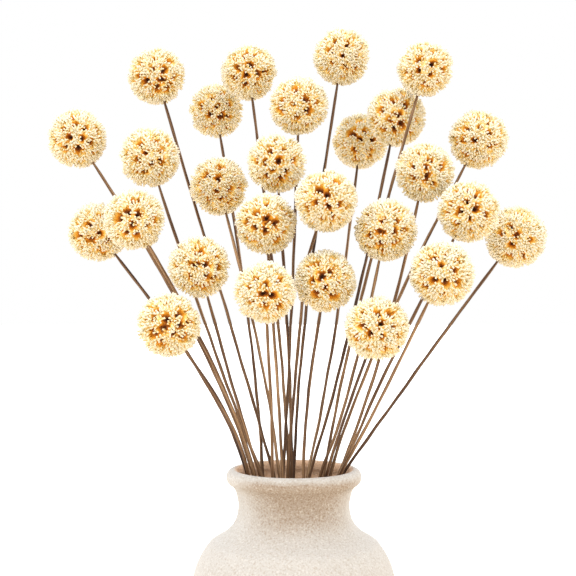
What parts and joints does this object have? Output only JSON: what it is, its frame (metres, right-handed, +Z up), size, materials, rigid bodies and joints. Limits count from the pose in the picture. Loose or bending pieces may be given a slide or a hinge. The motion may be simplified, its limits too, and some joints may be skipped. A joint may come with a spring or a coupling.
{
  "type": "billy buttons arrangement in a vase",
  "caption": "Dried billy buttons, globe-shaped cream flower heads on thin brown stems, fanned out of a round stoneware vase with a rolled lip.",
  "frame": {"origin": "centre of the vase's flat base, on the surface it stands on", "axes": "+Z up along the vase's axis, -Y towards the front of the arrangement, +X to its right as seen from the front"},
  "size_m": [0.2495, 0.1526, 0.3201],
  "materials": {
    "stoneware": "matte, sandy",
    "dried_stem": "matte, fibrous",
    "florets": "matte, dry florets"
  },
  "bodies": {
    "root": {"vase": "stoneware", "stem_01": "dried_stem", "stem_02": "dried_stem", "stem_03": "dried_stem", "stem_04": "dried_stem", "stem_05": "dried_stem", "stem_06": "dried_stem", "stem_07": "dried_stem", "stem_08": "dried_stem", "stem_09": "dried_stem", "stem_10": "dried_stem", "stem_11": "dried_stem", "stem_12": "dried_stem", "stem_13": "dried_stem", "stem_14": "dried_stem", "stem_15": "dried_stem", "stem_16": "dried_stem", "stem_17": "dried_stem", "stem_18": "dried_stem", "stem_19": "dried_stem", "stem_20": "dried_stem", "stem_21": "dried_stem", "stem_22": "dried_stem", "stem_23": "dried_stem", "stem_24": "dried_stem", "stem_25": "dried_stem", "stem_26": "dried_stem", "stem_27": "dried_stem", "head_01": "florets", "head_02": "florets", "head_03": "florets", "head_04": "florets", "head_05": "florets", "head_06": "florets", "head_07": "florets", "head_08": "florets", "head_09": "florets", "head_10": "florets", "head_11": "florets", "head_12": "florets", "head_13": "florets", "head_14": "florets", "head_15": "florets", "head_16": "florets", "head_17": "florets", "head_18": "florets", "head_19": "florets", "head_20": "florets", "head_21": "florets", "head_22": "florets", "head_23": "florets", "head_24": "florets", "head_25": "florets", "head_26": "florets", "head_27": "florets"}
  },
  "joints": []
}
